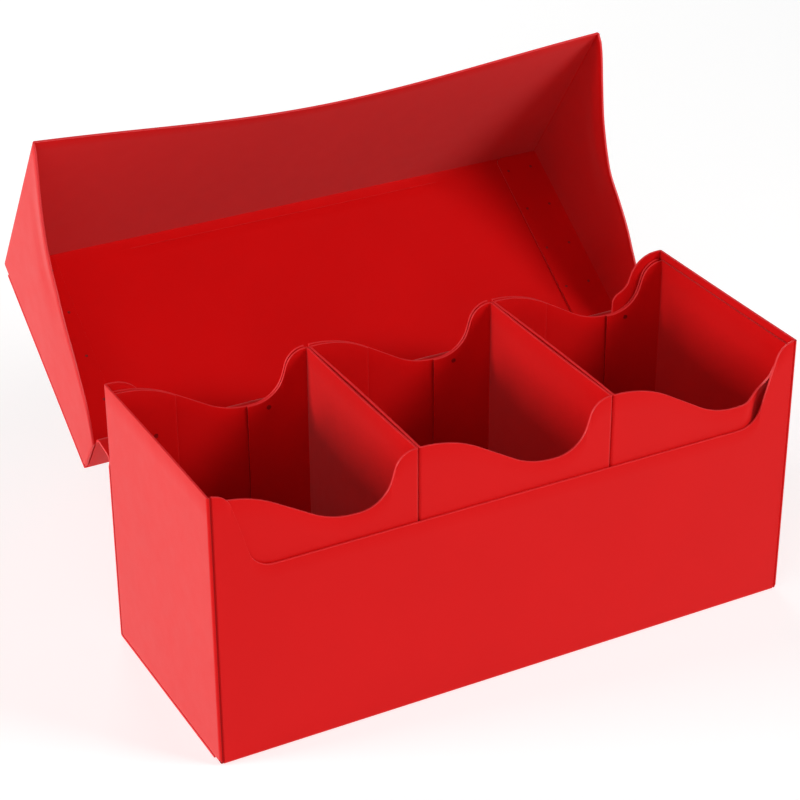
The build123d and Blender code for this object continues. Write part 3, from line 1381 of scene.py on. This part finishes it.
    def bow(self, p: Vector) -> Vector:
        """Inward bow of the panels, and the front's right end pushed in.

        Args:
            p: A corner's place in millimetres.

        Returns:
            Its shift in millimetres.
        """
        shift = Vector()
        tall = hump((p.z - self.floor) / (self.top - self.floor) * 0.62)
        if min(p.x - self.left, self.right - p.x) < SNAP:
            sign = 1 if p.x < self.middle else -1
            outermost = abs(p.x) > self.size.half_width - 2
            deep = hump((p.y - self.front) / (self.back - self.front))
            shift.x = sign * (self.outer_bow if outermost else self.side_bow) * tall * deep
        if self.sag and p.y < self.front + 3:
            start, rise, fall = self.sag_across
            low, onset, high, fade = self.sag_down
            lean, lean_low, lean_onset = self.sag_lean
            aside = ease((p.x - self.right + start) / rise) * ease((self.right - p.x) / fall)
            below = ease((p.z - self.top + low) / onset) * ease((self.top - p.z - high) / fade)
            shift.y = self.sag * aside * below
            shift.x = self.sag * lean * aside * ease((p.z - self.top + lean_low) / lean_onset)
        return shift

    def build(self) -> Piece:
        """Fold the insert.

        Returns:
            The finished sheet.
        """
        r, wave = self.fold, self.wave()
        bench = Bench(f"{self.name}_insert", Along.UPRIGHT)
        bench.draw(self.ribs())
        bench.divide(12)
        foot, back = self.floor + r + self.support, self.back
        row = [at(self.front, foot), at(self.front, self.floor + r)]
        row += [at(self.front + r + y, self.floor + r + z) for y, z in arc((0, 0), r, 180, 270)[1:]]
        bend = r + self.support
        row += [at(y, self.floor) for y in spread(self.front + bend, back - bend, 6)]
        row += [at(back - r + y, self.floor + r + z) for y, z in arc((0, 0), r, -90, 0)]
        row += [at(back, z) for z in (foot, *spread(foot, self.top, 12)[1:])]
        bench.fold_on(
            lambda p: on(p.y, self.front) and on(p.z, foot)
            and self.left + r - SNAP < p.x < self.right - r + SNAP,
            row,
        )

        def trim(p: Vector) -> Vector:
            """Draw the back's straight top edge down to the wave."""
            if not on(p.y, back) or p.z < foot:
                return Vector()
            share = (p.z - foot) / (self.top - foot)
            return Vector((0, 0, share * (level(wave, p.x) - self.top)))

        bench.press(trim)
        bench.press(self.bow)
        bench.face_out(Vector((self.middle, self.front, 40)), at(-1, 0))
        sheet = bench.finish(
            self.wall, self.finishes.of(Slot.INSERT), plain=lambda p: abs(p.x) > self.size.half_width - 2.2
        )
        # The glue flaps' free ends get the dark finish: painted shade of the gap where they lie against the
        # back.
        for face in sheet.data.polygons:
            spot = face.center / MM
            flap_end = abs(abs(spot.x - self.middle) - self.flap_gap) < 0.03
            if flap_end and self.back - 3 < spot.y < self.back - self.wall:
                face.material_index = Coat.CREASE
        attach(sheet, "box")
        parts = ("floor", "front", "back", "left_side", "right_side", "left_flap", "right_flap")
        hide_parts(*(f"{self.name}_insert_{part}" for part in parts))
        return sheet

    def weld(self) -> Piece:
        """Put the weld marks on the two glue flaps.

        Returns:
            The joined marks.
        """
        spots = []
        for side in (-1, 1):
            inner = self.middle + side * self.flap_gap
            corner = self.left + self.fold if side < 0 else self.right - self.fold
            x = self.middle + side * (self.width / 2 - self.weld_inset)
            y = self.flap_line(x, inner, corner) - self.wall
            spots += [Vector((x, y, z)) for z in self.weld_heights]
        name = f"{self.name}_insert_welds"
        marks = WeldMarks(name, Slot.INSERT, spots, at(-1, 0), 0.85).build(self.finishes)
        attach(marks, "box")
        return marks


# ---------------------------------------------------------------- studio
@dataclass(frozen=True)
class SoftLight:
    """One soft box of the studio."""

    name: str
    place: tuple[float, float, float]
    power: float
    size: float = 0.6

    def hang(self, target: Vector) -> Piece:
        """Put the light up, turned towards a target.

        Args:
            target: What it shines on.

        Returns:
            The light.
        """
        bpy.ops.object.light_add(type="AREA", location=self.place)
        lamp = bpy.context.object
        lamp.name = self.name
        lamp.data.shape = "SQUARE"
        lamp.data.size = self.size
        lamp.data.energy = self.power
        lamp.rotation_euler = (target - Vector(self.place)).to_track_quat("-Z", "Y").to_euler()
        return lamp


@dataclass(frozen=True)
class Studio:
    """Pale floor, soft boxes and the camera."""

    camera_place: tuple[float, float, float] = (-0.34013, -0.60119, 0.46198)
    azimuth: float = -27.954
    elevation: float = 28.611
    roll: float = -0.264
    lens: float = 104.97
    floor_size: float = 8.0
    floor_colour: tuple[float, float, float] = (0.55, 0.55, 0.548)
    sky: float = 0.02
    floor_glow: float = 0.58
    lights: tuple[SoftLight, ...] = (
        SoftLight("left_low", (-1.487, 0.363, 0.551), 17.0, 0.45),
        SoftLight("back_right", (0.405, 1.532, 0.403), 9.0),
        SoftLight("front_right", (0.927, -0.907, 0.988), 15.4),
        SoftLight("front_low", (-0.405, -1.492, 0.403), 2.6),
        SoftLight("front_left", (-0.892, -0.872, 1.055), 3.0),
        SoftLight("left_high", (-0.773, -0.187, 1.456), 2.4),
        SoftLight("back_left", (-0.405, 1.532, 0.403), 2.3),
    )

    def lay_floor(self) -> None:
        """Lay the pale floor."""
        bpy.ops.mesh.primitive_plane_add(size=self.floor_size, location=(0, 0, -0.0002))
        floor = bpy.context.object
        floor.name = "studio_floor"
        nodes = Nodes("studio_paper")
        fibre = tuple(0.99 * part for part in self.floor_colour)
        nodes.mottle(nodes.noise(40.0, 3.0), self.floor_colour, fibre)
        nodes.tune(
            nodes.shader, Roughness=0.9, Specular_IOR_Level=0.1,
            Emission_Color=(1, 1, 1, 1), Emission_Strength=self.floor_glow,
        )
        floor.data.materials.append(nodes.material)

    def light(self) -> None:
        """Hang the lights and set the soft surrounding light."""
        for light in self.lights:
            light.hang(at(0.02, 0.07))
        world = bpy.data.worlds.new("studio_room")
        world.use_nodes = True
        ground = world.node_tree.nodes["Background"]
        ground.inputs["Color"].default_value = (1, 1, 1, 1)
        ground.inputs["Strength"].default_value = self.sky
        bpy.context.scene.world = world
        bpy.context.scene.view_settings.view_transform = "Standard"

    def set_camera(self) -> None:
        """Set the camera up."""
        a, e, tilt = (math.radians(v) for v in (self.azimuth, self.elevation, self.roll))
        back = Vector((math.sin(a) * math.cos(e), -math.cos(a) * math.cos(e), math.sin(e)))
        side = (-back).cross(at(0, 1)).normalized()
        rise = side.cross(-back)
        right = side * math.cos(tilt) + rise * math.sin(tilt)
        up = rise * math.cos(tilt) - side * math.sin(tilt)
        bpy.ops.object.camera_add(location=self.camera_place)
        camera = bpy.context.object
        camera.name = "studio_camera"
        turn = Matrix((right, up, back)).transposed().to_4x4()
        camera.matrix_world = Matrix.Translation(Vector(self.camera_place)) @ turn
        camera.data.lens = self.lens
        camera.data.sensor_width = 36.0
        camera.data.clip_start, camera.data.clip_end = 0.01, 20.0
        bpy.context.scene.camera = camera

    def set_up(self) -> None:
        """Set up floor, lights and camera."""
        bpy.ops.object.select_all(action="DESELECT")
        self.lay_floor()
        self.light()
        self.set_camera()


def main() -> None:
    """Build every piece in order, and the studio round them."""
    logging.basicConfig(level=logging.INFO, format="%(name)s: %(message)s")
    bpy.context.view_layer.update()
    size = Frame.measure()
    finishes = Finishes.make()
    lid, spine = Lid(size, finishes), Spine(size, finishes)
    pieces = [
        OuterBox(size, finishes).build(),
        spine.build_box_side(),
        spine.build_lid_side(lid),
        lid.build(),
        lid.weld(),
    ]
    for name, sag in (("left", 0.0), ("middle", 0.0), ("right", 3.2)):
        insert = CardInsert(size, finishes, name, sag=sag)
        pieces += [insert.build(), insert.weld()]
    for piece in pieces:
        LOG.info("%s: %d faces", piece.name, len(piece.data.polygons))
    Studio().set_up()


if __name__ == "__main__":
    main()
